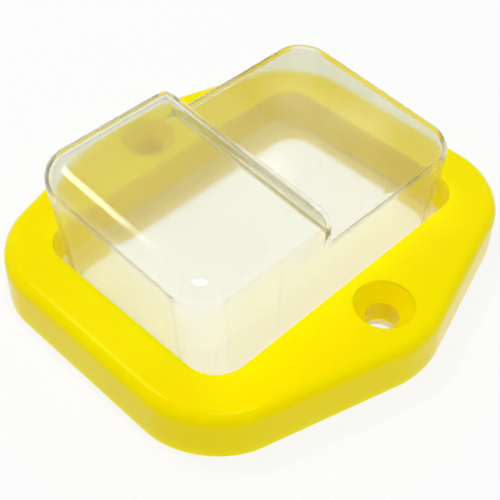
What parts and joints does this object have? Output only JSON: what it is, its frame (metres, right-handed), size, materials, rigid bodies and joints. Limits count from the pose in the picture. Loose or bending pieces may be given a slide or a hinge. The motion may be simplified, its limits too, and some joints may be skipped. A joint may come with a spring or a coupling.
{
  "type": "panel switch splash cover",
  "caption": "Yellow screw-down frame holding a clear soft two-level boot that covers a push-button panel switch and is pressed through.",
  "frame": {"origin": "centre of the underside, where the cover rests on its panel", "axes": "+Z out of the panel, towards the crowns; X through the two screws; +Y along the window, from the high crown to the low crown"},
  "size_m": [0.0714, 0.0748, 0.0276],
  "materials": {
    "yellow_plastic": "glossy moulded",
    "clear_soft_plastic": "clear, soft and glossy"
  },
  "bodies": {
    "root": {"frame": "yellow_plastic", "boot": "clear_soft_plastic"}
  },
  "joints": []
}
